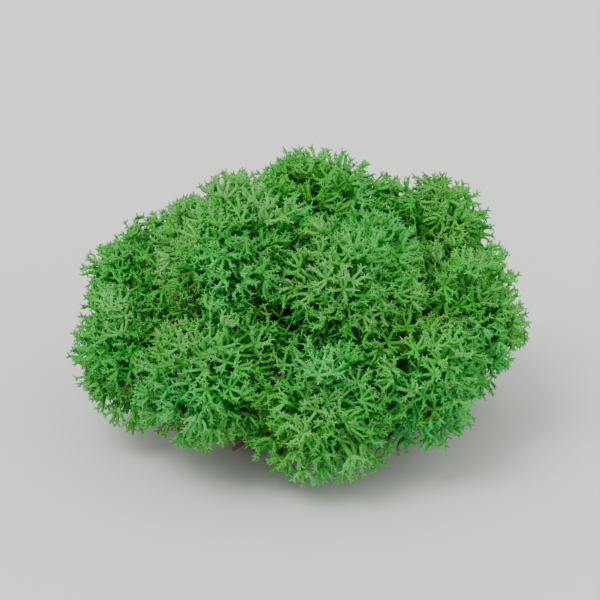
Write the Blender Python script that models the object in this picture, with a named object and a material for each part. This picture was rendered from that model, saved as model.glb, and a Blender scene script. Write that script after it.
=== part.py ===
# Reindeer moss clump (star-tipped reindeer lichen), one loose clump, dyed and preserved.
# Thirteen rounded heads, each a mass of twigs that fork into short prongs, stand close together on a
# common mat of old, brown stems. The clump rests on the flat spot under the mat.
# Metres, +Z up. The origin is the middle of the flat spot. The view of the photograph is along +Y.

import math
import random

import bmesh
import bpy
from mathutils import Matrix, Vector, noise
from mathutils.bvhtree import BVHTree

SEED = 7

# The clump's half width and half depth out to the middles of its outermost heads
HALF_WIDTH = 0.0230
HALF_DEPTH = 0.0195
CLUMP_MIDDLE = Vector((0.0, 0.0, 0.0150))

# Heads: bearing in degrees from +X, how far out as a share of the half width and depth, height of the
# middle, radius over the tips. Three broad heads make the low top, a small round one stands behind them
# on the right, and the rest make the rim, which droops over the mat and is lowest at the front.
CROWN_HEADS = (
    (202, 0.40, 0.0280, 0.0166),
    (302, 0.50, 0.0266, 0.0157),
    (80, 0.54, 0.0272, 0.0155),
    (34, 1.02, 0.0266, 0.0120),
)
RIM_HEADS = (
    (352, 1.00, 0.0198, 0.0138),
    (24, 1.12, 0.0138, 0.0124),
    (68, 1.00, 0.0170, 0.0138),
    (117, 0.98, 0.0178, 0.0140),
    (154, 1.02, 0.0186, 0.0138),
    (192, 1.00, 0.0152, 0.0140),
    (236, 0.98, 0.0168, 0.0144),
    (277, 1.02, 0.0140, 0.0140),
    (314, 1.06, 0.0160, 0.0135),
)
CROWN_ROOT = 0.35       # how far out the stems stand on the mat, of the way out to the head
RIM_ROOT = 0.50

# Each head: how much of its radius is packed core, and the twigs that stand out of it
CORE_SHARE = 0.77
LOBE_DEPTH = 0.22       # of the radius, between a head's lobes and the dips among them
LOBE_PITCH = 2.3        # lobes along a radius
LOBE_SHARE = 0.12       # raises the share of a head that dips
POINTS_PER_HEAD = 70
WAIST_SHARE = 0.34      # a twig's waist, of its foot's width
WAIST_RISE = 0.16       # height of the waist, of the twig's height
PRONG_LEAN = 0.95       # how far a prong leans from the twig's line to the foot's edge
EDGE_SHARE = 0.5        # of the way from a foot's middle to its corner, where its edge lies
PRONG_JITTER = 0.30     # of the prong's height
WALL_TWIG = 0.0024      # room for twigs on a core's open side where a neighbour stands
OPEN_FROM = 0.30        # how far behind its middle a head still counts as open
LEAST_TWIG = 0.0014
INWARD_LIMIT = -0.35    # heads have no twigs on the side turned to the clump's inside
ROOT_LIMIT = 0.62       # nor where their stems come in

# Clear space kept on each side of the plane between two heads, and over the surface below
HEAD_CLEARANCE = 0.0002
FLOOR_CLEARANCE = 0.0015

# The mat of old stems under the heads
MAT_HALF_SIZE = Vector((0.0145, 0.0130, 0.0072))
MAT_MIDDLE_HEIGHT = 0.0062
MAT_POINTS = 80
MAT_LUMPS = 0.10
MAT_LUMP_PITCH = 2.5
MAT_TWIG = 0.0048
MAT_CLEARANCE = 0.0005
MAT_SIDE_SLOPE = 0.93   # flatter faces of the mat carry no twigs
MAT_BARE_HEIGHT = 0.0004
STEMS_PER_HEAD = 4
STEM_FOOT_RADIUS = 0.0012
STEM_TIP_RADIUS = 0.0008
STEM_SIDES = 5
STEM_SPREAD = 0.22      # between the stems of one head, of the head's radius
STEM_FAN = 2.4          # how much wider the stems stand apart under the core than on the mat
STEM_GAP = 0.0003
STEM_ROOM = 0.0002      # kept round a stem, off every head

GOLDEN_ANGLE = math.pi * (3 - math.sqrt(5))
SPIRAL_JITTER = 0.2
NOISE_SEATS = 9.0       # each head reads its lobes from its own place in the noise


def remove_all_objects():
    for existing in list(bpy.data.objects):
        bpy.data.objects.remove(existing)


def new_collection(name):
    made = bpy.data.collections.new(name)
    bpy.context.scene.collection.children.link(made)
    return made


def plain_material(name, colour, roughness):
    made = bpy.data.materials.new(name)
    made.use_nodes = True
    shader = made.node_tree.nodes["Principled BSDF"]
    shader.inputs["Base Color"].default_value = (*colour, 1)
    shader.inputs["Roughness"].default_value = roughness
    made.diffuse_color = (*colour, 1)
    return made


def object_from(bm, name, collection, material):
    mesh = bpy.data.meshes.new(name)
    bm.to_mesh(mesh)
    bm.free()
    mesh.materials.append(material)
    made = bpy.data.objects.new(name, mesh)
    collection.objects.link(made)
    return made


class Head:
    """A head's name, middle, radius over the tips and the way it faces."""

    def __init__(self, name, middle, radius, root_share):
        self.name = name
        self.middle = middle
        self.radius = radius
        self.facing = (middle - CLUMP_MIDDLE).normalized()
        self.root = Vector((middle.x * root_share, middle.y * root_share, MAT_MIDDLE_HEIGHT))
        self.rootward = (self.root - middle).normalized()

    def room(self, direction, others):
        """How far the head may reach along a direction, up to a neighbour's room or the floor."""
        reach = math.inf
        for other in others:
            between = other.middle - self.middle
            apart = between.length
            toward = direction.dot(between) / apart
            if toward > 0:
                plane = (apart**2 + self.radius**2 - other.radius**2) / (2 * apart)
                reach = min(reach, (plane - HEAD_CLEARANCE) / toward)
        if direction.z < 0:
            reach = min(reach, (self.middle.z - FLOOR_CLEARANCE) / -direction.z)
        return reach


def placed_heads():
    """The heads of the crown and the rim, as the lists at the top place them."""
    heads = []
    rings = (("crown_head", CROWN_HEADS, CROWN_ROOT), ("rim_head", RIM_HEADS, RIM_ROOT))
    for ring, rows, root_share in rings:
        for number, (bearing_deg, out, height, radius) in enumerate(rows, start=1):
            bearing = math.radians(bearing_deg)
            middle = Vector((
                HALF_WIDTH * out * math.cos(bearing),
                HALF_DEPTH * out * math.sin(bearing),
                height,
            ))
            heads.append(Head(f"{ring}_{number}", middle, radius, root_share))
    return heads


def spiral_hull(bm, count, draw):
    """A closed hull of points spread over a unit sphere on a golden-angle spiral, turned at random."""
    tumble = Matrix.Rotation(draw.uniform(0, math.tau), 3, "X")
    turn = tumble @ Matrix.Rotation(draw.uniform(0, math.tau), 3, "Z")
    for index in range(count):
        height = 1 - 2 * (index + 0.5) / count
        across = math.sqrt(1 - height**2)
        bearing = GOLDEN_ANGLE * index + draw.uniform(-SPIRAL_JITTER, SPIRAL_JITTER)
        point = Vector((across * math.cos(bearing), across * math.sin(bearing), height))
        bm.verts.new(turn @ point)
    bmesh.ops.convex_hull(bm, input=list(bm.verts))


def raise_twigs(bm, middle, feet, reach_along, draw):
    """Draws each foot, a triangle of the core, out to a narrow waist that forks into three prongs.

    reach_along gives how far from the middle a tip may stand in a direction.
    """
    for foot in feet:
        corners = [vert.co.copy() for vert in foot.verts]
        centre = foot.calc_center_median()
        outward = (centre - middle).normalized()
        foot_distance = (centre - middle).length
        height = reach_along(outward) - foot_distance
        if height < LEAST_TWIG:
            continue
        waist_distance = foot_distance + WAIST_RISE * height
        waist_centre = middle + outward * waist_distance
        raised = bmesh.ops.extrude_discrete_faces(bm, faces=[foot])["faces"][0]
        for vert, corner in zip(raised.verts, corners):
            spread = (corner - centre) * WAIST_SHARE
            vert.co = waist_centre + spread
        forks = bmesh.ops.poke(bm, faces=[raised])["faces"]
        for fork in forks:
            side = (fork.calc_center_median() - waist_centre).normalized()
            edge_reach = min((corner - centre).length for corner in corners) * EDGE_SHARE
            stretch = reach_along(outward) / foot_distance
            lean = side * edge_reach * PRONG_LEAN * stretch
            aim = (outward * reach_along(outward) + lean).normalized()
            reach = min(reach_along(aim), waist_distance + (1 - WAIST_RISE) * height)
            length = (reach - waist_distance) * (1 - draw.uniform(0, PRONG_JITTER))
            tip = middle + aim * (waist_distance + length)
            bmesh.ops.poke(bm, faces=[fork])["verts"][0].co = tip


def build_head(head, others, draw, collection, material):
    """A packed core, pressed flat where its neighbours stand, with forked twigs on its open side."""
    bm = bmesh.new()
    spiral_hull(bm, POINTS_PER_HEAD, draw)
    seat = Vector([draw.uniform(-NOISE_SEATS, NOISE_SEATS) for _ in range(3)])

    def lobes(direction):
        return 1 - LOBE_DEPTH * max(0, LOBE_SHARE + noise.noise(direction * LOBE_PITCH + seat))

    core_radius = head.radius * CORE_SHARE
    for vert in bm.verts:
        direction = vert.co.normalized()
        open_side = min(max(direction.dot(head.facing) + OPEN_FROM, 0), 1)
        wall = head.room(direction, others) - WALL_TWIG * open_side
        vert.co = head.middle + direction * min(core_radius * lobes(direction), wall)

    def reach_along(direction):
        return min(head.radius * lobes(direction), head.room(direction, others))

    feet = []
    for face in bm.faces:
        outward = (face.calc_center_median() - head.middle).normalized()
        if outward.dot(head.facing) > INWARD_LIMIT and outward.dot(head.rootward) < ROOT_LIMIT:
            feet.append(face)
    raise_twigs(bm, head.middle, feet, reach_along, draw)
    bmesh.ops.recalc_face_normals(bm, faces=list(bm.faces))
    return object_from(bm, head.name, collection, material)


def tree_of(mesh):
    corners = [vert.co for vert in mesh.vertices]
    return BVHTree.FromPolygons(corners, [face.vertices for face in mesh.polygons])


def stays_clear(bm, head_trees):
    """Whether the surface of a stem, which is used up here, crosses no head."""
    stem_tree = BVHTree.FromBMesh(bm)
    bm.free()
    return not any(stem_tree.overlap(tree) for tree in head_trees)


def stem_mesh(foot, tip, thicker=0.0):
    """A tapered stem from the mat to just under a head's core."""
    line = tip - foot
    bm = bmesh.new()
    bmesh.ops.create_cone(
        bm, cap_ends=True, segments=STEM_SIDES, depth=line.length,
        radius1=STEM_FOOT_RADIUS + thicker, radius2=STEM_TIP_RADIUS + thicker,
    )
    upright = line.to_track_quat("Z", "Y").to_matrix().to_4x4()
    bmesh.ops.transform(bm, matrix=Matrix.Translation((foot + tip) / 2) @ upright, verts=list(bm.verts))
    return bm


def shells_of(bm):
    """The groups of faces that hang together."""
    left = set(bm.faces)
    shells = []
    while left:
        edge_of_shell = [left.pop()]
        shell = set(edge_of_shell)
        while edge_of_shell:
            face = edge_of_shell.pop()
            for edge in face.edges:
                for other in edge.link_faces:
                    if other in left:
                        left.remove(other)
                        shell.add(other)
                        edge_of_shell.append(other)
        shells.append(shell)
    return shells


def keep_largest_shell(mesh):
    """Fills the hollows that the union sealed and drops loose scraps."""
    bm = bmesh.new()
    bm.from_mesh(mesh)
    shells = sorted(shells_of(bm), key=len)
    for shell in shells[:-1]:
        bmesh.ops.delete(bm, geom=list(shell), context="FACES")
    bm.to_mesh(mesh)
    bm.free()


def join_pieces(base, pieces, material):
    """One Boolean union of the base with the collection's pieces, applied. The pieces are then removed."""
    union = base.modifiers.new("join stems", "BOOLEAN")
    union.operation = "UNION"
    union.operand_type = "COLLECTION"
    union.collection = pieces
    union.solver = "MANIFOLD"
    graph = bpy.context.evaluated_depsgraph_get()
    joined = bpy.data.meshes.new_from_object(base.evaluated_get(graph))
    keep_largest_shell(joined)
    base.modifiers.clear()
    base.data = joined
    joined.materials.clear()
    joined.materials.append(material)
    for piece in list(pieces.objects):
        bpy.data.objects.remove(piece)
    bpy.data.collections.remove(pieces)


def ray_to_head(start, direction, head):
    """How far a ray runs before it meets a head's outer ball, less the clear gap; infinite if it misses."""
    toward = (head.middle - start).dot(direction)
    beside = (head.middle - start - direction * toward).length
    ball = head.radius + HEAD_CLEARANCE
    if toward <= 0 or beside >= ball:
        return math.inf
    return toward - math.sqrt(ball**2 - beside**2) - HEAD_CLEARANCE


def lowest(face):
    return min(vert.co.z for vert in face.verts)


def build_mat(heads, head_trees, draw, collection, material):
    """The old stems: a low tangled mat with a flat underside, and the stems that carry the heads."""
    bm = bmesh.new()
    spiral_hull(bm, MAT_POINTS, draw)
    middle = Vector((0.0, 0.0, MAT_MIDDLE_HEIGHT))
    for vert in bm.verts:
        lumps = 1 + MAT_LUMPS * noise.noise(vert.co * MAT_LUMP_PITCH)
        spoke = vert.co * MAT_HALF_SIZE * lumps
        clear = min(ray_to_head(middle, spoke.normalized(), head) for head in heads)
        vert.co = middle + spoke * min(1, (clear - MAT_CLEARANCE) / spoke.length)
    cut = bmesh.ops.bisect_plane(
        bm, geom=list(bm.verts) + list(bm.edges) + list(bm.faces),
        plane_co=(0, 0, 0), plane_no=(0, 0, 1), clear_inner=True,
    )
    rim = [edge for edge in cut["geom_cut"] if isinstance(edge, bmesh.types.BMEdge)]
    bmesh.ops.edgenet_fill(bm, edges=rim)
    bmesh.ops.recalc_face_normals(bm, faces=list(bm.faces))

    def reach_along(direction):
        """Past the mat's surface by a twig's length, but short of every head."""
        at_surface = Vector([part / half for part, half in zip(direction, MAT_HALF_SIZE)])
        reach = 1 / at_surface.length + MAT_TWIG
        if direction.z < 0:
            reach = min(reach, (MAT_MIDDLE_HEIGHT - STEM_GAP) / -direction.z)
        return min([reach] + [ray_to_head(middle, direction, head) for head in heads])

    feet = [
        face for face in bm.faces
        if len(face.verts) == 3 and abs(face.normal.z) < MAT_SIDE_SLOPE and lowest(face) > MAT_BARE_HEIGHT
    ]
    raise_twigs(bm, middle, feet, reach_along, draw)
    mat = object_from(bm, "old_stem_mat", collection, material)

    pieces = new_collection("stem pieces")
    for head in heads:
        for number in range(STEMS_PER_HEAD):
            bearing = math.tau * number / STEMS_PER_HEAD + draw.uniform(0, 1)
            spread = Vector((math.cos(bearing), math.sin(bearing), 0)) * head.radius * STEM_SPREAD
            foot = head.root + spread
            inward = (head.root + spread * STEM_FAN - head.middle).normalized()
            tip = head.middle + inward * (head.radius * CORE_SHARE + STEM_GAP)
            if stays_clear(stem_mesh(foot, tip, STEM_ROOM), head_trees):
                object_from(stem_mesh(foot, tip), f"stem_{head.name}_{number}", pieces, material)
    join_pieces(mat, pieces, material)
    return mat


def main():
    remove_all_objects()
    draw = random.Random(SEED)
    noise.seed_set(SEED)
    clump = new_collection("reindeer moss clump")
    moss = plain_material("moss_green", (0.045, 0.27, 0.035), 0.9)
    old_stem = plain_material("old_stem_brown", (0.10, 0.085, 0.03), 0.95)
    heads = placed_heads()
    head_trees = []
    for head in heads:
        others = [other for other in heads if other is not head]
        made = build_head(head, others, draw, clump, moss)
        head_trees.append(tree_of(made.data))
    build_mat(heads, head_trees, draw, clump, old_stem)


main()
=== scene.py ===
import math

import bmesh
import bpy
import numpy as np
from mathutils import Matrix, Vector


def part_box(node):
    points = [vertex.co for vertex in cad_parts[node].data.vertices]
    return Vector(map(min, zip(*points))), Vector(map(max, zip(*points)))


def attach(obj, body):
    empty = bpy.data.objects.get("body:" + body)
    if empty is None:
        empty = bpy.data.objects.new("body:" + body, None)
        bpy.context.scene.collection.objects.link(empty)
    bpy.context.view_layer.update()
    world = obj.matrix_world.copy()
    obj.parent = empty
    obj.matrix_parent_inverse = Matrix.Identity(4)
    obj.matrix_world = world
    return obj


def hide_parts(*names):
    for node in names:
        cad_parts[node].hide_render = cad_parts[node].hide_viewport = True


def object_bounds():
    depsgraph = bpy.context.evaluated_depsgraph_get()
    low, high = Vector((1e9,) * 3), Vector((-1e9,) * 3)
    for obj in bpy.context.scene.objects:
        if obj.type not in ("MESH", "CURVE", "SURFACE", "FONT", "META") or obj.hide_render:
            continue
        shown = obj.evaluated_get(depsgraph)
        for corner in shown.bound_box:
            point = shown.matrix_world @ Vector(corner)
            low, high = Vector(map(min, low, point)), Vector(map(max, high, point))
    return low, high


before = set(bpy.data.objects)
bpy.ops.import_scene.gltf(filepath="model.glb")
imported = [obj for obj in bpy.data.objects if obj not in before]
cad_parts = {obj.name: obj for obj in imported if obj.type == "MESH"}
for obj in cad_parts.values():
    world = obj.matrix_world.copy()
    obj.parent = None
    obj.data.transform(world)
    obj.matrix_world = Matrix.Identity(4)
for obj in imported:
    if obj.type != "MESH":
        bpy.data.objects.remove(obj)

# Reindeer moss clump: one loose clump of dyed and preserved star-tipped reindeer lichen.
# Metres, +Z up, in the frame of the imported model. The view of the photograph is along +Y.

cad_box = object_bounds()

# The old stems are the dead, olive-brown lower ends of the lichens, each under a millimetre thick. They
# tangle into a mat that was pressed flat where the clump lay and that it rests on, and they lean out of
# it into every head. They grew so, and only their tangle holds them together.
head_names = sorted(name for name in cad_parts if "head" in name)


def unit(vectors):
    """The vectors at a length of one."""
    return vectors / np.maximum(np.linalg.norm(vectors, axis=-1, keepdims=True), 1e-12)


def square_to(axes):
    """Two directions square to each axis and to each other."""
    steep = 0.8
    other = np.where(np.abs(axes[..., 2:]) < steep, [0.0, 0.0, 1.0], [1.0, 0.0, 0.0])
    first = unit(np.cross(axes, other))
    return first, np.cross(axes, first)


def bent(start, control, end, rings):
    """Smooth lines from start to end, drawn towards the control points."""
    share = np.linspace(0, 1, rings)[None, :, None]
    start, control, end = start[:, None], control[:, None], end[:, None]
    return (1 - share) ** 2 * start + 2 * (1 - share) * share * control + share**2 * end


def crook(lines, amount, draw):
    """Moves the inner points of each line a little, so that it isn't smooth."""
    inner = lines[:, 1:-1]
    inner += draw.normal(0, amount, inner.shape)


def tapered(foot, tip, rings, count, draw):
    """Radii from foot to tip, each tube a little thicker or thinner than the next."""
    girth = (0.85, 1.15)
    along = np.linspace(foot, tip, rings)
    return along[None, :] * draw.uniform(*girth, (count, 1))


def tube_points(lines, radii, sides, pointed):
    """The points of each tube: a ring of them round each point of its line, and one at a pointed end."""
    along = unit(np.gradient(lines, axis=1))
    across = np.broadcast_to(square_to(unit(lines[:, -1] - lines[:, 0]))[0][:, None], lines.shape)
    across = unit(across - along * (across * along).sum(axis=2, keepdims=True))
    beside = np.cross(along, across)
    turn = (np.arange(sides) * math.tau / sides)[:, None]
    circle = across[:, :, None] * np.cos(turn) + beside[:, :, None] * np.sin(turn)
    shell = lines[:, :, None] + circle * radii[:, :, None, None]
    if pointed:
        return np.concatenate([shell[:, :-1].reshape(len(lines), -1, 3), lines[:, -1:]], axis=1)
    return shell.reshape(len(lines), -1, 3)


def at_points(values, sides, pointed):
    """What each tube has at each ring, given to each point of the ring."""
    if pointed:
        return np.concatenate([np.repeat(values[:, :-1], sides, axis=1), values[:, -1:]], axis=1)
    return np.repeat(values, sides, axis=1)


def tube_faces(rings, sides, pointed):
    """A tube's faces: the points at their corners, how many each has, and their places on its map."""
    cap_size, foot_cap, tip_cap = 0.02, (0.5, 0.03), (0.5, 0.97)
    bands = rings - 2 if pointed else rings - 1
    band, side = np.meshgrid(np.arange(bands), np.arange(sides), indexing="ij")
    band, side = band.reshape(-1), side.reshape(-1)
    after = (side + 1) % sides
    low, high = band * sides, (band + 1) * sides
    walls = np.stack([low + side, low + after, high + after, high + side], axis=1)
    u = np.stack([side, side + 1, side + 1, side], axis=1) / sides
    v = np.stack([band, band, band + 1, band + 1], axis=1) / (rings - 1)
    turn = np.arange(sides) * math.tau / sides
    cap = np.stack([np.cos(turn), np.sin(turn)], axis=1) * cap_size
    edge = np.arange(sides)
    last = bands * sides
    corners = [walls.reshape(-1), edge[::-1]]
    sizes = [4] * len(band) + [sides]
    maps = [np.stack([u, v], axis=-1).reshape(-1, 2), cap[::-1] + foot_cap]
    if pointed:
        point = np.full(sides, last + sides)
        corners.append(np.stack([last + edge, last + (edge + 1) % sides, point], axis=1).reshape(-1))
        sizes += [3] * sides
        u = np.stack([edge, edge + 1, edge + 0.5], axis=1) / sides
        v = np.broadcast_to([bands / (rings - 1), bands / (rings - 1), 1.0], u.shape)
        maps.append(np.stack([u, v], axis=-1).reshape(-1, 2))
    else:
        corners.append(last + edge)
        sizes.append(sides)
        maps.append(cap + tip_cap)
    return np.concatenate(corners), sizes, np.concatenate(maps)


def mesh_of(name, points, corners, sizes, maps, values):
    """A smooth mesh from the corners of its faces, with its map and the values that its points keep."""
    made = bpy.data.meshes.new(name)
    made.vertices.add(len(points))
    made.vertices.foreach_set("co", points.astype(np.float32).reshape(-1))
    made.loops.add(len(corners))
    made.loops.foreach_set("vertex_index", corners.astype(np.int32))
    made.polygons.add(len(sizes))
    made.polygons.foreach_set("loop_start", (np.cumsum(sizes) - sizes).astype(np.int32))
    made.polygons.foreach_set("loop_total", sizes.astype(np.int32))
    made.update(calc_edges=True)
    made.shade_smooth()
    layer = made.uv_layers.new(name="OFBake")
    layer.uv.foreach_set("vector", maps.astype(np.float32).reshape(-1))
    for label, kept in values.items():
        attribute = made.attributes.new(label, "FLOAT", "POINT")
        attribute.data.foreach_set("value", kept.astype(np.float32))
    return made


class Thicket:
    """Closed tubes that bend and taper, gathered into one mesh.

    Their points keep how far up the lichen they stand, from 0 at the old foot to 1 at a fresh tip, lowered
    further where shade is painted in, and a tint of the tube's own. Each tube has a cell of its own on the
    mesh's map.
    """

    cell_margin = 0.08

    def __init__(self):
        self.batches = []

    def grow(self, lines, radii, ages, tints, sides=3, pointed=False):
        """lines is tubes by rings by 3, radii and ages are tubes by rings, tints is one for a tube."""
        self.batches.append((lines, radii, sides, np.broadcast_to(ages, radii.shape), tints, pointed))

    def grow_prongs(self, feet, tips, radius, ages, tints):
        """Short straight twigs that end in a point."""
        radii = np.full((len(feet), 2), radius)
        self.grow(np.stack([feet, tips], axis=1), radii, ages, tints, pointed=True)

    def mesh(self, name):
        columns = math.ceil(math.sqrt(sum(len(batch[0]) for batch in self.batches)))
        points, corners, sizes, maps, ages_at, tints_at = [], [], [], [], [], []
        first_point = 0
        first_tube = 0
        for lines, radii, sides, ages, tints, pointed in self.batches:
            tubes, rings, _ = lines.shape
            shell = tube_points(lines, radii, sides, pointed)
            each = shell.shape[1]
            tube_corners, tube_sizes, tube_map = tube_faces(rings, sides, pointed)
            starts = first_point + np.arange(tubes) * each
            cell = first_tube + np.arange(tubes)
            cell_corner = np.stack([cell % columns, cell // columns], axis=1)
            in_cell = self.cell_margin + tube_map * (1 - 2 * self.cell_margin)
            points.append(shell.reshape(-1, 3))
            corners.append((starts[:, None] + tube_corners).reshape(-1))
            sizes.append(np.tile(tube_sizes, tubes))
            maps.append(((cell_corner[:, None] + in_cell) / columns).reshape(-1, 2))
            ages_at.append(at_points(ages, sides, pointed).reshape(-1))
            tints_at.append(np.repeat(tints, each))
            first_point += tubes * each
            first_tube += tubes
        joined = [np.concatenate(parts) for parts in (points, corners, sizes, maps)]
        return mesh_of(name, *joined, {"age_and_painted_shade": np.concatenate(ages_at), "tint": np.concatenate(tints_at)})


def placed(mesh, material):
    """The mesh as an object of the scene, in this material."""
    mesh.materials.append(material)
    made = bpy.data.objects.new(mesh.name, mesh)
    bpy.context.scene.collection.objects.link(made)
    return made


def linear(hex_colour):
    """An sRGB hex colour as linear red, green, blue and full alpha."""
    parts = [int(hex_colour[at:at + 2], 16) / 255 for at in (1, 3, 5)]
    return [part / 12.92 if part <= 0.04045 else ((part + 0.055) / 1.055) ** 2.4 for part in parts] + [1]


def add_node(tree, kind, settings, inputs):
    """A node with its settings, and what each input takes: a value, or another node's output."""
    node = tree.nodes.new(kind)
    for key, value in settings.items():
        setattr(node, key, value)
    for key, value in inputs.items():
        if isinstance(value, bpy.types.NodeSocket):
            tree.links.new(value, node.inputs[key])
        else:
            node.inputs[key].default_value = value
    return node


# Lichen is felted all through with fine threads: a mealy, matt skin that scatters the light and never
# shines. Fresh tips are the palest. Some twigs are bleached and about one in forty is dead, the dye took
# unevenly in patches as broad as a lobe, and its hue drifts from yellower to bluer over twice that.
# The real threads are under 0.01 mm thick, too fine to show, so the felt is drawn in grains of 0.15 mm,
# the size of a pixel of the render.
patch_mm = 100 / 11
drift_mm = 100 / 6
grain_mm = 10 / 65
felt_height = 0.00005
usual_bleach = 0.08
bleach_by_tint = 0.10


def lichen(name, stops, pale, dead, felt):
    """stops are the colours from the old foot to the fresh tip. A high tint is pale, a very low one dead."""
    made = bpy.data.materials.new(name)
    made.use_nodes = True
    tree = made.node_tree
    shader = tree.nodes["Principled BSDF"]
    place = add_node(tree, "ShaderNodeTexCoord", {}, {}).outputs["Object"]
    age_and_painted_shade = add_node(tree, "ShaderNodeAttribute", {"attribute_name": "age_and_painted_shade"}, {}).outputs["Fac"]
    tint = add_node(tree, "ShaderNodeAttribute", {"attribute_name": "tint"}, {}).outputs["Fac"]

    # The colour from the twig's place between old foot and fresh tip, lowered where shade is painted in,
    # then its share of the pale and the dead colours
    ramp = add_node(tree, "ShaderNodeValToRGB", {}, {"Fac": age_and_painted_shade})
    elements = ramp.color_ramp.elements
    elements[0].position, elements[0].color = stops[0][0], linear(stops[0][1])
    elements[1].position, elements[1].color = stops[-1][0], linear(stops[-1][1])
    for position, colour in stops[1:-1]:
        elements.new(position).color = linear(colour)
    bleached = add_node(
        tree, "ShaderNodeMath", {"operation": "MULTIPLY_ADD"},
        {0: tint, 1: bleach_by_tint, 2: usual_bleach},
    )
    paler = add_node(
        tree, "ShaderNodeMix", {"data_type": "RGBA"},
        {0: bleached.outputs[0], 6: ramp.outputs["Color"], 7: linear(pale)},
    )
    withered = add_node(
        tree, "ShaderNodeMapRange", {},
        {"Value": tint, "From Min": -2.3, "From Max": -1.8, "To Min": 0.85, "To Max": 0.0},
    )
    aged = add_node(
        tree, "ShaderNodeMix", {"data_type": "RGBA"},
        {0: withered.outputs["Result"], 6: paler.outputs[2], 7: linear(dead)},
    )

    # The dye's patches and the drift of its hue. Nearly all of a noise lies in its middle span, and a
    # hue of 0.5 is unchanged
    middle_span = {"From Min": 0.3, "From Max": 0.7}
    patches = add_node(
        tree, "ShaderNodeTexNoise", {},
        {"Vector": place, "Scale": 1000 / patch_mm, "Detail": 2.0},
    )
    bright = add_node(
        tree, "ShaderNodeMapRange", {},
        {"Value": patches.outputs["Fac"], **middle_span, "To Min": 0.82, "To Max": 1.12},
    )
    drift = add_node(
        tree, "ShaderNodeTexNoise", {},
        {"Vector": place, "Scale": 1000 / drift_mm, "Detail": 1.0},
    )
    hue = add_node(
        tree, "ShaderNodeMapRange", {},
        {"Value": drift.outputs["Fac"], **middle_span, "To Min": 0.4825, "To Max": 0.5135},
    )
    dyed = add_node(
        tree, "ShaderNodeHueSaturation", {},
        {"Hue": hue.outputs["Result"], "Value": bright.outputs["Result"], "Color": aged.outputs[2]},
    )

    grain = add_node(
        tree, "ShaderNodeTexNoise", {},
        {"Vector": place, "Scale": 1000 / grain_mm, "Detail": 2.0},
    )
    bump = add_node(
        tree, "ShaderNodeBump", {},
        {"Height": grain.outputs["Fac"], "Strength": felt, "Distance": felt_height},
    )
    tree.links.new(dyed.outputs["Color"], shader.inputs["Base Color"])
    tree.links.new(bump.outputs["Normal"], shader.inputs["Normal"])

    # Rough as dry plants are, and the felt scatters all but a quarter of the usual gloss
    shader.inputs["Roughness"].default_value = 0.85
    shader.inputs["Specular IOR Level"].default_value = 0.12
    return made


# Old stems took little of the dye: dull olive brown at the foot, greener where they near the heads
old_lichen_stems = lichen(
    "old_lichen_stems",
    ((0.0, "#665938"), (0.35, "#75713e"), (0.65, "#5f7f38"), (1.0, "#43902f")),
    pale="#a39a6a", dead="#4a3a22", felt=0.6,
)


# A head leans away from a root that stands this share of the way out to it, at this height
root_out = 0.45
root_height = 0.004


def middle_and_size(name):
    """The heart of a head, and half of its mean breadth."""
    low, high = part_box(name)
    return np.array((low + high) / 2), float(np.mean(np.array(high - low))) / 2


def way_to_root(heart):
    """The direction from a head's heart to its root."""
    return unit(np.array([heart[0] * root_out, heart[1] * root_out, root_height]) - heart)


# A broken side twig: how it leans along its stem, its length beside the usual one, its bow and its taper
spur_lean = (0.2, 1.0)
spur_lengths = (0.6, 1.3)
spur_bow = 0.12
spur_taper = 0.6
spur_rings = 3


def add_spurs(thicket, lines, ring, length, radius, ages, tints, draw):
    """A short dead twig on each line, at one of its rings. None goes through the floor."""
    count = len(lines)
    along = unit(lines[:, ring + 1] - lines[:, ring])
    first, second = square_to(along)
    bearing = draw.uniform(0, math.tau, (count, 1))
    lean = draw.uniform(*spur_lean, (count, 1))
    way = unit(first * np.cos(bearing) + second * np.sin(bearing) + along * lean)
    foot = lines[:, ring]
    tip = foot + way * length * draw.uniform(*spur_lengths, (count, 1))
    tip[:, 2] = np.maximum(tip[:, 2], radius)
    control = (foot + tip) / 2 + draw.normal(0, length * spur_bow, tip.shape)
    radii = tapered(radius, radius * spur_taper, spur_rings, count, draw)
    thicket.grow(bent(foot, control, tip, spur_rings), radii, ages, tints, pointed=True)


# The stems that lean out of the mat. Clearances over the floor and tapers are in stem radii
mat_half = (0.0122, 0.0110)  # half the mat's width and depth
mat_top = 0.0100
stems_per_head = 26
stem_radius = 0.00042
stem_taper = 0.8
stem_clearance = 1.2
stem_rings = 8
stem_crook = 0.00030
stem_scatter = 0.0014
stem_ages = (0.05, 0.9)
foot_out = 0.42  # a stem's foot stands this share of the way out to its head,
foot_limit = 0.85  # but no further out than this share of the mat
foot_height = 0.0014
foot_spread = (1.7, 1.7, 0.4)  # it strays by this much of the scatter along x, y and z,
stem_bow = 1.4  # and the stem bows out to the same side
stem_rise = 0.4  # at this share of its climb
stem_end = 0.72  # it ends this share of the head's size below the heart,
end_overlap = 0.0015  # and this much higher, among the stems of the lobes
stem_spur_rings = (1, 2, 3, 4, 5)
stem_spur = 0.0020
stem_spur_taper = 0.6
stem_spur_ages = (0.1, 0.3)
age_per_ring = 0.12


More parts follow.
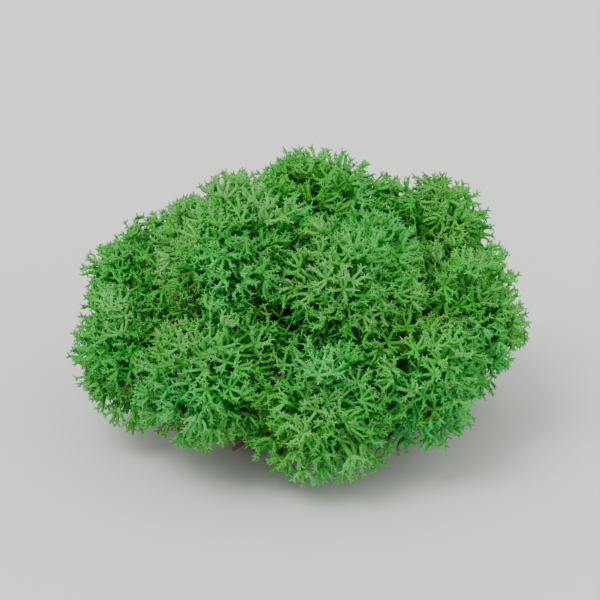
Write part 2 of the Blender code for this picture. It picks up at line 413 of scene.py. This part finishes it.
def add_leaning_stems(thicket, draw):
    """Stems from the mat to each head, with dead side twigs."""
    feet, controls, ends = [], [], []
    for name in head_names:
        heart, size = middle_and_size(name)
        down = way_to_root(heart)
        gate = heart + down * size * stem_end
        for _ in range(stems_per_head):
            jog = draw.normal(0, stem_scatter, 3)
            foot = np.array([heart[0] * foot_out, heart[1] * foot_out, foot_height]) + jog * foot_spread
            foot[:2] /= max(1.0, math.hypot(foot[0] / mat_half[0], foot[1] / mat_half[1]) / foot_limit)
            feet.append(foot)
            controls.append(foot + [jog[0] * stem_bow, jog[1] * stem_bow, stem_rise * (gate[2] - foot[2])])
            ends.append(gate + draw.normal(0, stem_scatter, 3) - down * end_overlap)
    lines = bent(np.array(feet), np.array(controls), np.array(ends), stem_rings)
    crook(lines, stem_crook, draw)
    lines[:, :, 2] = np.maximum(lines[:, :, 2], stem_radius * stem_clearance)
    tint = draw.normal(0, 1, len(lines))
    radii = tapered(stem_radius, stem_radius * stem_taper, stem_rings, len(lines), draw)
    thicket.grow(lines, radii, np.linspace(*stem_ages, stem_rings), tint, sides=5)
    for ring in stem_spur_rings:
        ages = np.linspace(*stem_spur_ages, spur_rings) + age_per_ring * ring
        add_spurs(thicket, lines, ring, stem_spur, stem_radius * stem_spur_taper, ages, tint, draw)


# The bits of stem in the mat, which is lower at its rim and older at its foot
bits_in_mat = 760
half_bit = (0.0014, 0.0038)
bit_clearance = 1.3
bit_flatness = (1.0, 1.0, 0.5)
bit_bow = 0.0014
bit_crook = 0.00020
bit_rings = 6
bit_taper = (0.85, 0.5)
bit_spur_rings = (2, 3)
bit_spur = 0.0015
bit_spur_taper = 0.5
bit_spur_fresher = (0.0, 0.1, 0.2)
rim_drop = 0.5
low_crowding = 1.4
mat_top_age = 0.5


def add_mat(thicket, draw):
    """Crooked bits of dead stem that lie every way, with broken side twigs."""
    bearing = draw.uniform(0, math.tau, bits_in_mat)
    out = np.sqrt(draw.random(bits_in_mat))
    rise = draw.random(bits_in_mat) ** low_crowding * mat_top * (1 - rim_drop * out**2)
    x = mat_half[0] * out * np.cos(bearing)
    y = mat_half[1] * out * np.sin(bearing)
    middles = np.stack([x, y, stem_radius * bit_clearance + rise], axis=1)
    reach = unit(draw.normal(size=(bits_in_mat, 3)) * bit_flatness)
    reach *= draw.uniform(*half_bit, (bits_in_mat, 1))
    control = middles + draw.normal(0, bit_bow, (bits_in_mat, 3))
    bits = bent(middles - reach, control, middles + reach, bit_rings)
    crook(bits, bit_crook, draw)
    bits[:, :, 2] = np.maximum(bits[:, :, 2], stem_radius)
    thick, thin = bit_taper
    radii = tapered(stem_radius * thick, stem_radius * thin, bit_rings, bits_in_mat, draw)
    tint = draw.normal(0, 1, bits_in_mat)
    bit_ages = (bits[:, :, 2] / mat_top).clip(0, 1) * mat_top_age
    thicket.grow(bits, radii, bit_ages, tint, sides=4)
    for ring in bit_spur_rings:
        ages = bit_ages[:, ring:ring + 1] + np.array([bit_spur_fresher])
        add_spurs(thicket, bits, ring, bit_spur, stem_radius * bit_spur_taper, ages, tint, draw)


stems_seed = 99
stems_thicket = Thicket()
stems_draw = np.random.default_rng(stems_seed)
add_leaning_stems(stems_thicket, stems_draw)
add_mat(stems_thicket, stems_draw)
stems = placed(stems_thicket.mesh("old_stems"), old_lichen_stems)
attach(stems, "root")
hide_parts("old_stem_mat")

# The green heads are the bushy tops of tufts of lichen, preserved and dyed green in a bath. The stems of
# a tuft end in lobes, a lobe forks into whorls that open like small cups, and each branch of a cup ends
# in a star of forked twigs. The tufts grew pressed together, and their outer twigs interlock.

# Dyed lichen: a deep, pure green on the old wood inside, and paler and softer towards the fresh tips
dyed_lichen = lichen(
    "dyed_lichen",
    (
        (0.0, "#2f5c1c"), (0.22, "#1e8018"), (0.40, "#109a18"),
        (0.66, "#29a829"), (0.86, "#42b042"), (1.0, "#5cc257"),
    ),
    pale="#a0c487", dead="#62602c", felt=0.35,
)


def hull_planes(nodes):
    """The planes round some solids: their outward normals, their distances, and a point on each."""
    hull = bmesh.new()
    for node in nodes:
        for vert in node.data.vertices:
            hull.verts.new(vert.co)
    bmesh.ops.convex_hull(hull, input=list(hull.verts))
    bmesh.ops.recalc_face_normals(hull, faces=list(hull.faces))
    normals = np.array([face.normal for face in hull.faces])
    middles = np.array([face.calc_center_median() for face in hull.faces])
    hull.free()
    return normals, (normals * middles).sum(axis=1), middles


planes = {name: hull_planes([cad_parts[name]]) for name in head_names}
clump_planes = hull_planes(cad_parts.values())


def depth_in_clump(points):
    """How far each point lies under the hull of the whole clump."""
    normals, offsets, _ = clump_planes
    return (offsets - points @ normals.T).min(axis=1)


def inside_heads(points, but=None):
    """Which points lie in a head, other than one that is left out."""
    inside = np.zeros(len(points), bool)
    for name, (normals, offsets, _) in planes.items():
        if name != but:
            inside |= (points @ normals.T <= offsets).all(axis=1)
    return inside


# Moss this far out from a point, on the line from the middle of the clump, hides it partly or wholly
clump_heart = np.array([0.0, 0.0, 0.012])
thin_cover = 0.0045
full_cover = 0.0095


def covered(points, depth):
    """Which points have moss at this distance on the line out of the clump."""
    return inside_heads(points + unit(points - clump_heart) * depth)


def buried(points):
    """Which points can't be seen into: moss lies beyond them and above them."""
    above = points + [0.0, 0.0, full_cover]
    return covered(points, full_cover) & inside_heads(above)


# Heads that press together interlock: at a wall each reaches this far past its own side. A side is a
# wall where another head lies this far out from its middle
interlock = 0.0012
wall_probe = 0.0015


def room_of(name):
    """The planes that a head's twigs stay within: past its walls with other heads, inside the rest."""
    normals, offsets, middles = planes[name]
    walls = inside_heads(middles + normals * wall_probe, but=name)
    return normals, offsets + np.where(walls, interlock, 0.0)


def outside_by(points, name):
    """How far each point stands outside a head. Less than nothing is inside it."""
    normals, offsets, _ = planes[name]
    return (points @ normals.T - offsets).max(axis=1)


def gap_to_others(points, name):
    """How far each point stands outside the nearest of the other heads."""
    return np.min([outside_by(points, other) for other in head_names if other != name], axis=0)


# Between the heads a twig stands no further than this from its own head, at least this deep in the
# clump, and moved by up to this share of the spacing
gap_reach = 0.0045
gap_cover = 0.0050
gap_jitter = 0.4


def points_round(name, pitch, nearest, furthest, lowest, draw):
    """Points deep in the clump, this far outside a head, that no other head is nearer to."""
    low, high = (np.array(corner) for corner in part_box(name))
    steps = [np.arange(start - gap_reach, end + gap_reach, pitch) for start, end in zip(low, high)]
    points = np.stack(np.meshgrid(*steps, indexing="ij"), axis=-1).reshape(-1, 3)
    points += draw.uniform(-gap_jitter, gap_jitter, points.shape) * pitch
    own = outside_by(points, name)
    wanted = (own > nearest) & (own < furthest) & (own < gap_to_others(points, name))
    wanted &= (depth_in_clump(points) > gap_cover) & (points[:, 2] > lowest)
    return points[wanted]


def reach_in(room, start, directions):
    """How far from the start each direction runs before it meets a side of the room."""
    least_slope = 1e-6
    normals, offsets = room
    slopes = directions @ normals.T
    gaps = offsets - normals @ start
    runs = gaps / np.maximum(slopes, least_slope)
    return np.where(slopes > least_slope, runs, np.inf).min(axis=1)


def sites_on_ball(radius, pitch):
    """How many sites fit on a ball at this spacing."""
    return round(4 * math.pi * radius**2 / pitch**2)


def spread_directions(count, jitter, draw):
    """Directions spread evenly all round on a spiral, then moved by this share of their spacing."""
    golden_angle = math.pi * (3 - math.sqrt(5))
    index = np.arange(count) + 0.5
    height = 1 - 2 * index / count
    across = np.sqrt(1 - height**2)
    bearing = golden_angle * index
    even = np.stack([across * np.cos(bearing), across * np.sin(bearing), height], axis=1)
    turned = even @ np.linalg.qr(draw.normal(size=(3, 3)))[0]
    spacing = math.sqrt(4 * math.pi / count)
    return unit(turned + draw.normal(0, jitter * spacing, (count, 3)))


def around(axes, counts, draw):
    """Directions square to each axis, counts of them spread round it, and which axis each is for."""
    bearing_scatter = 0.3
    which = np.repeat(np.arange(len(axes)), counts)
    place = np.concatenate([np.arange(number) for number in counts])
    first, second = square_to(axes)
    bearing = math.tau * (place / counts[which] + draw.random(len(axes))[which])
    bearing += draw.normal(0, bearing_scatter, len(which))
    return first[which] * np.cos(bearing)[:, None] + second[which] * np.sin(bearing)[:, None], which


# The lobes: how far apart, how unevenly spread, high and pale, and how long. The base of a lobe stands
# at least this share of the way out from the heart
lobe_pitch = 0.0092
lobe_jitter = 0.16
lobe_lift = 0.0005
lobe_tint = 0.6
lobe_height = 0.0080
lowest_base = 0.3


class Head:
    """A head as it grows: where it stands, its lobes, and the thicket of its twigs."""

    def __init__(self, name, draw):
        self.name = name
        self.draw = draw
        self.thicket = Thicket()
        self.room = room_of(name)
        self.heart, self.size = middle_and_size(name)
        self.down = way_to_root(self.heart)
        self.lobe_ways = spread_directions(sites_on_ball(self.size, lobe_pitch), lobe_jitter, draw)
        self.lobes = len(self.lobe_ways)
        self.lobe_lift = draw.normal(0, lobe_lift, self.lobes)
        self.lobe_tint = draw.normal(0, lobe_tint, self.lobes)
        self.lobe_reach = reach_in(self.room, self.heart, self.lobe_ways)
        base_reach = np.maximum(self.lobe_reach - lobe_height, lowest_base * self.lobe_reach)
        self.lobe_base = self.heart + self.lobe_ways * base_reach[:, None]


# The layers of whorls, from the surface inwards: how deep, how far apart, the share of them missing,
# and how near they grow to the direction of the root, as a cosine
layers = (
    (0.0, 0.0035, 0.05, 0.62),
    (0.0024, 0.0035, 0.0, 0.86),
    (0.0048, 0.0038, 0.0, 0.86),
)
whorl_jitter = 0.17
surface_roughness = 0.00035
lobe_dip = 0.0026  # the surface dips this far between two lobes,
deepest_dip = 0.0032  # and at most this far where three meet
cleft_reach = 0.0045  # where heads part by less than this, their whorls reach further out,
cleft_fill = 0.42  # by this share of what the gap falls short of it
tip_allowance = 0.00030  # room for the star on the end of a branch
plain_lean = 0.3  # whorls nearer to the root's direction than this cosine are plainer
gap_pitch = 0.0027  # more whorls stand in the gaps between heads, this far apart


def whorl_sites(head):
    """Where whorls open: in layers that show through each other's holes, and in the gaps.

    Gives the top of each, how far past its head it may reach, and whether it is made plainer, as those
    are that are deep, partly hidden or near the root.
    """
    tops, slacks, plains = [], [], []
    for depth, pitch, share_missing, root_lean in layers:
        ways = spread_directions(sites_on_ball(head.size - depth, pitch), whorl_jitter, head.draw)
        lobe = np.argmax(ways @ head.lobe_ways.T, axis=1)
        off_lobe = np.arccos(np.clip((ways * head.lobe_ways[lobe]).sum(axis=1), -1, 1)) * head.size
        dip = np.clip(lobe_dip * (off_lobe / (lobe_pitch / 2)) ** 2 - head.lobe_lift[lobe], 0, deepest_dip)
        reach = reach_in(head.room, head.heart, ways)
        gap = gap_to_others(head.heart + ways * reach[:, None], head.name)
        slack = np.where(gap > 0, np.clip(cleft_reach - gap, 0, None) * cleft_fill, 0.0)
        uneven = np.abs(head.draw.normal(0, surface_roughness, len(ways)))
        reach += slack - tip_allowance - dip - depth - uneven
        top = head.heart + ways * reach[:, None]
        lean = ways @ head.down
        kept = head.draw.random(len(ways)) > share_missing
        shown = ~buried(top) & ~(lean > root_lean) & kept
        plain = covered(top, thin_cover) | (lean > plain_lean) | (depth > 0)
        tops.append(top[shown])
        slacks.append(slack[shown])
        plains.append(plain[shown])
    in_gaps = points_round(head.name, gap_pitch, 0.0, gap_reach, mat_top, head.draw)
    tops.append(in_gaps)
    slacks.append(np.full(len(in_gaps), gap_reach))
    plains.append(np.ones(len(in_gaps), bool))
    return np.concatenate(tops), np.concatenate(slacks), np.concatenate(plains)


# The twigs of a star: their lengths beside the usual one, their taper, and how many radii deep they
# are rooted
star_lengths = (0.7, 1.2)
star_taper = 0.72
star_rooting = 0.5


def add_star(head, ends, axes, counts, lean, length, radius, ages, tints, pointed):
    """Short straight twigs that spread from each end. Gives their tips, their ways and whose they are."""
    outward, which = around(axes, counts, head.draw)
    aim = unit(axes[which] + outward * head.draw.uniform(*lean, (len(which), 1)))
    start = ends[which] - aim * radius * star_rooting
    tips = start + aim * length * head.draw.uniform(*star_lengths, (len(which), 1))
    radii = np.broadcast_to([radius, radius * star_taper], (len(which), 2))
    head.thicket.grow(np.stack([start, tips], axis=1), radii, ages[which], tints[which], pointed=pointed)
    return tips, aim, which


# A branch of a cup. Radii and ages run from foot to tip here and below
branch_radius = (0.00034, 0.00024)
branch_ages = (0.74, 0.92)
branch_crook = 0.00009
branch_rooting = 0.0001

# The star on its end, whose axis tips outwards, and the two prongs of each of its twigs
star_outward = 0.7
star_scatter = 0.2
twigs_in_star = (3, 4)
twig_lean = (0.5, 1.5)
twig_length = 0.00072
twig_radius = 0.00018
twig_ages = (0.88, 0.96)
prongs_on_twig = 2
prong_lean = (0.35, 1.0)
prong_length = 0.00042
prong_radius = 0.00012
prong_fresher = (0.06, 0.04)

# The prong to either side of a branch, which bridges to the next branch
side_prong_rise = (0.1, 0.7)
side_prong_scatter = 0.3
side_prong_length = (0.0006, 0.0011)
side_prong_radius = 0.00019
side_prong_ages = (0.84, 0.98)


def add_branches(head, forks, axes, outward, control, ends, shade, tint, simple):
    """The branches of cups, each with its star and its side prongs. Simple stars have no prongs."""
    draw = head.draw
    count = len(forks)
    rings, sides = (3, 3) if simple else (4, 4)
    branches = bent(forks - axes * branch_rooting, control, ends, rings)
    crook(branches, branch_crook, draw)
    radii = tapered(*branch_radius, rings, count, draw)
    # shade is painted shade: it colours deeper branches, stars and prongs darker
    head.thicket.grow(branches, radii, np.linspace(*branch_ages, rings) - shade, tint, sides)

    star_axes = unit(axes + outward * star_outward + draw.normal(0, star_scatter, (count, 3)))
    star_ages = np.array([twig_ages]) - shade
    fewest, most = twigs_in_star
    twigs = draw.integers(fewest, most + 1, count)
    tips, aim, whose = add_star(
        head, ends, star_axes, twigs, twig_lean, twig_length, twig_radius, star_ages, tint, simple
    )
    if not simple:
        prongs = np.full(len(tips), prongs_on_twig)
        prong_ages = star_ages[whose] + [prong_fresher]
        add_star(
            head, tips, aim, prongs, prong_lean, prong_length, prong_radius, prong_ages, tint[whose], True
        )
    for hand in (-1, 1):
        way = unit(
            np.cross(axes, outward) * hand
            + axes * draw.uniform(*side_prong_rise, (count, 1))
            + outward * draw.normal(0, side_prong_scatter, (count, 1))
        )
        foot = (branches[:, -2] + branches[:, -1]) / 2
        tip = foot + way * draw.uniform(*side_prong_length, (count, 1))
        head.thicket.grow_prongs(foot, tip, side_prong_radius, np.array([side_prong_ages]) - shade, tint)


# A whorl: its size beside the usual one, and the way that it faces, drawn to the way of its lobe
whorl_scale = (0.8, 1.2)
whorl_height = 0.0015
whorl_tint = 0.6
lobe_pull = 0.5
axis_scatter = 0.42

# Its stalk, which bows out with the lobe and sways by this share of its length
stalk_radius = (0.00044, 0.00036)
stalk_ages = (0.40, 0.74)
stalk_rings = 4
stalk_foot_scatter = 0.0003
stalk_bow = 0.45
stalk_sway = 0.09
stalk_crook = 0.00014

# Its cup of branches, which run out, then up. A plainer cup has one branch fewer
branches_in_cup = (5, 6)
branch_tint = 0.35
cup_radius = 0.00155
cup_spread = (0.8, 1.25)
cup_rise = (0.75, 1.12)
cup_swing = (0.45, 1.05)
cup_base_rise = 0.1

# Painted shade: deeper in the clump a whorl is coloured darker, as if older, by one for each
# shade_depth but by no more than most_shade
shade_start = 0.001
shade_depth = 0.034
most_shade = 0.45


def add_whorls(head):
    """The whorls of a head, on stalks that rise from the bases of its lobes."""
    draw = head.draw
    tops, slack, plain = whorl_sites(head)
    count = len(tops)
    ways = unit(tops - head.heart)
    lobe = np.argmax(ways @ head.lobe_ways.T, axis=1)
    lobe_ways = head.lobe_ways[lobe]
    tint = head.lobe_tint[lobe] + draw.normal(0, whorl_tint, count)
    # Painted shade: the deeper a whorl lies under the hull of the clump, the darker it is coloured
    shade = np.clip((depth_in_clump(tops) - shade_start) / shade_depth, 0, most_shade)
    scale = draw.uniform(*whorl_scale, (count, 1))
    axes = unit(ways + lobe_ways * lobe_pull + draw.normal(0, axis_scatter, (count, 3)))
    forks = tops - axes * whorl_height * scale
    feet = head.lobe_base[lobe] + draw.normal(0, stalk_foot_scatter, (count, 3))
    length = np.linalg.norm(forks - feet, axis=1, keepdims=True)
    sway = draw.normal(0, stalk_sway, (count, 3)) * length
    stalks = bent(feet, feet + lobe_ways * length * stalk_bow + sway, forks, stalk_rings)
    crook(stalks, stalk_crook, draw)
    radii = tapered(*stalk_radius, stalk_rings, count, draw)
    ages = np.linspace(*stalk_ages, stalk_rings) - shade[:, None]
    head.thicket.grow(stalks, radii, ages, tint)

    fewest, most = branches_in_cup
    outward, which = around(axes, draw.integers(fewest, most + 1, count) - plain, draw)
    axes, forks, scale = axes[which], forks[which], scale[which]
    spread = cup_radius * scale * draw.uniform(*cup_spread, (len(which), 1))
    rise = whorl_height * scale * draw.uniform(*cup_rise, (len(which), 1))
    ends = forks + outward * spread + axes * rise
    way = unit(ends - head.heart)
    allowed = reach_in(head.room, head.heart, way) - tip_allowance + slack[which]
    ends = head.heart + way * np.minimum(np.linalg.norm(ends - head.heart, axis=1), allowed)[:, None]
    swing = draw.uniform(*cup_swing, (len(which), 1))
    control = forks + outward * spread * swing + axes * rise * cup_base_rise
    tint = tint[which] + draw.normal(0, branch_tint, len(which))
    parts = (forks, axes, outward, control, ends, shade[which][:, None], tint)
    for simple in (False, True):
        add_branches(head, *(part[plain[which] == simple] for part in parts), simple)


# The dense inside of a lobe: how far under the lobe's top it ends, its radius and how that swells
inside_depth = 0.0082
inside_depth_at_walls = 0.0052
wall_cover = 0.006  # a lobe is at a wall where moss lies this far past its top,
wall_lean = 0.8  # unless it is nearer to the root's direction than this cosine
inside_start = 0.25
inside_crook = 0.0004
inside_radius = 0.0020
inside_swell = (0.5, 0.8, 1.0, 1.05, 1.0, 0.8, 0.35)
inside_girth = (0.8, 1.2)
# Its colour lies low on the ramp: partly the old wood that it is, partly painted shade, so that it reads as
# the dark depth of the lobe
inside_ages_and_shade = (0.15, 0.30)

# The short twigs that bristle from it, on its last rings and most of all on the very last
bristles_per_lobe = 46
bristling_rings = 4
bristle_stray = 0.06
bristle_rooting = 0.8
bristle_lean = 0.7
bristle_length = (0.0012, 0.0034)
bristle_radius = 0.00024
bristle_ages = (0.26, 0.46)


def add_insides(head):
    """The dense, bristly inside of each lobe, deep in the clump and coloured dark partly as painted shade.
    """
    draw = head.draw
    rings = len(inside_swell)
    tops = head.heart + head.lobe_ways * head.lobe_reach[:, None]
    at_wall = covered(tops, wall_cover) & (head.lobe_ways @ head.down < wall_lean)
    reach = head.lobe_reach - np.where(at_wall, inside_depth_at_walls, inside_depth)
    inside = head.lobe_ways * reach[:, None]
    lines = head.heart + inside[:, None] * np.linspace(inside_start, 1, rings)[None, :, None]
    crook(lines, inside_crook, draw)
    swell = np.array(inside_swell) * inside_radius
    radii = swell * draw.uniform(*inside_girth, (head.lobes, rings))
    tint = draw.normal(0, 1, head.lobes)
    head.thicket.grow(lines, radii, np.linspace(*inside_ages_and_shade, rings), tint, sides=6)

    which = np.repeat(np.arange(head.lobes), bristles_per_lobe)
    count = len(which)
    ways = head.lobe_ways[which]
    ring = rings - 1 - (bristling_rings * draw.random(count) ** 2).astype(int)
    length = np.linalg.norm(inside[which], axis=1, keepdims=True)
    along = length * draw.uniform(-bristle_stray, bristle_stray, (count, 1))
    aim = unit(draw.normal(size=(count, 3)))
    foot = lines[which, ring] + ways * along + aim * radii[which, ring][:, None] * bristle_rooting
    tip = foot + unit(aim + ways * bristle_lean) * draw.uniform(*bristle_length, (count, 1))
    head.thicket.grow_prongs(foot, tip, bristle_radius, [bristle_ages], draw.normal(0, 1, count))


# The twigs in the seams with the next heads, coloured dark partly as old wood and partly as painted
# shade: how far apart, how far inside and outside a head, how low, and half their length
seam_pitch = 0.0020
seam_depth = 0.0030
seam_reach = 0.0005
seam_bottom = 0.004
half_seam_twig = (0.0010, 0.0018)
seam_ages_and_shade = (0.15, 0.35)


def add_seam_twigs(head):
    """Twigs that lie every way and fill the seams, coloured dark partly as old wood, partly as painted
    shade.
    """
    draw = head.draw
    middles = points_round(head.name, seam_pitch, -seam_depth, seam_reach, seam_bottom, draw)
    count = len(middles)
    reach = unit(draw.normal(size=(count, 3))) * draw.uniform(*half_seam_twig, (count, 1))
    tint = draw.normal(0, 1, count)
    head.thicket.grow_prongs(middles - reach, middles + reach, bristle_radius, [seam_ages_and_shade], tint)


# The stems of the lobes gather at a gate, this share of the head's size below its heart
gate_share = 0.75
gate_scatter = 0.0013
lobe_stem_radius = (0.00050, 0.00046)
lobe_stem_ages = (0.2, 0.5)
lobe_stem_rings = 6
lobe_stem_bend = 0.3
lobe_stem_scatter = 0.0008


def add_lobe_stems(head):
    """The stems that carry the lobes, from the gate through the heart to the base of each lobe."""
    draw = head.draw
    gate = head.heart + head.down * head.size * gate_share
    feet = gate + draw.normal(0, gate_scatter, (head.lobes, 3))
    scatter = draw.normal(0, lobe_stem_scatter, (head.lobes, 3))
    control = head.heart + (feet - head.heart) * lobe_stem_bend + scatter
    lines = bent(feet, control, head.lobe_base, lobe_stem_rings)
    radii = tapered(*lobe_stem_radius, lobe_stem_rings, head.lobes, draw)
    ages = np.linspace(*lobe_stem_ages, lobe_stem_rings)
    head.thicket.grow(lines, radii, ages, head.lobe_tint, sides=5)


first_head_seed = 100
for number, head_name in enumerate(head_names):
    growing = Head(head_name, np.random.default_rng(first_head_seed + number))
    add_whorls(growing)
    add_insides(growing)
    add_seam_twigs(growing)
    add_lobe_stems(growing)
    moss = placed(growing.thicket.mesh(f"moss_{head_name}"), dyed_lichen)
    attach(moss, "root")
    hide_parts(head_name)

# The studio is a plain pale floor of matt paper under two broad, soft lights and an even, pale surround,
# as for a photograph cut out on white.
floor_half = 20.0

pale_paper = bpy.data.materials.new("pale_paper")
pale_paper.use_nodes = True
paper_shader = pale_paper.node_tree.nodes["Principled BSDF"]
paper_shader.inputs["Base Color"].default_value = linear("#d4d4d2")
paper_shader.inputs["Roughness"].default_value = 0.9

floor_form = bmesh.new()
bmesh.ops.create_grid(floor_form, x_segments=1, y_segments=1, size=floor_half)
floor_mesh = bpy.data.meshes.new("floor")
floor_form.to_mesh(floor_mesh)
floor_form.free()
floor = placed(floor_mesh, pale_paper)

surround = bpy.data.worlds.new("surround")
surround.use_nodes = True
surround_light = surround.node_tree.nodes["Background"]
surround_light.inputs["Color"].default_value = linear("#f6f6f5")
surround_light.inputs["Strength"].default_value = 1.39
bpy.context.scene.world = surround


def soft_light(name, place, spread, strength):
    """Even light over the whole floor from the side of a place, as wide as the spread in degrees."""
    lamp = bpy.data.lights.new(name, "SUN")
    lamp.angle = math.radians(spread)
    lamp.energy = strength
    made = bpy.data.objects.new(name, lamp)
    made.location = place
    made.rotation_euler = (-Vector(place)).to_track_quat("-Z", "Y").to_euler()
    bpy.context.scene.collection.objects.link(made)


soft_light("key_light", (-0.35, -0.30, 0.75), spread=32, strength=2.2)
soft_light("fill_light", (0.65, -0.45, 0.40), spread=60, strength=0.41)

# The camera looks down at the clump by 26 degrees from 1.11 m away, as in the photograph, here through a
# lens long enough to fill most of the frame with the clump.
view_elevation = math.radians(26)
view_distance = 1.11
frame_width_at_clump = 0.092
sensor_width = 36.0
far_clip = 30.0

aim = (cad_box[0] + cad_box[1]) / 2
back = Vector((0, -math.cos(view_elevation), math.sin(view_elevation)))
lens = bpy.data.cameras.new("camera")
lens.sensor_width = sensor_width
lens.lens = sensor_width * view_distance / frame_width_at_clump
lens.clip_end = far_clip
camera = bpy.data.objects.new("camera", lens)
camera.location = aim + back * view_distance
camera.rotation_euler = (-back).to_track_quat("-Z", "Y").to_euler()
bpy.context.scene.collection.objects.link(camera)
bpy.context.scene.camera = camera
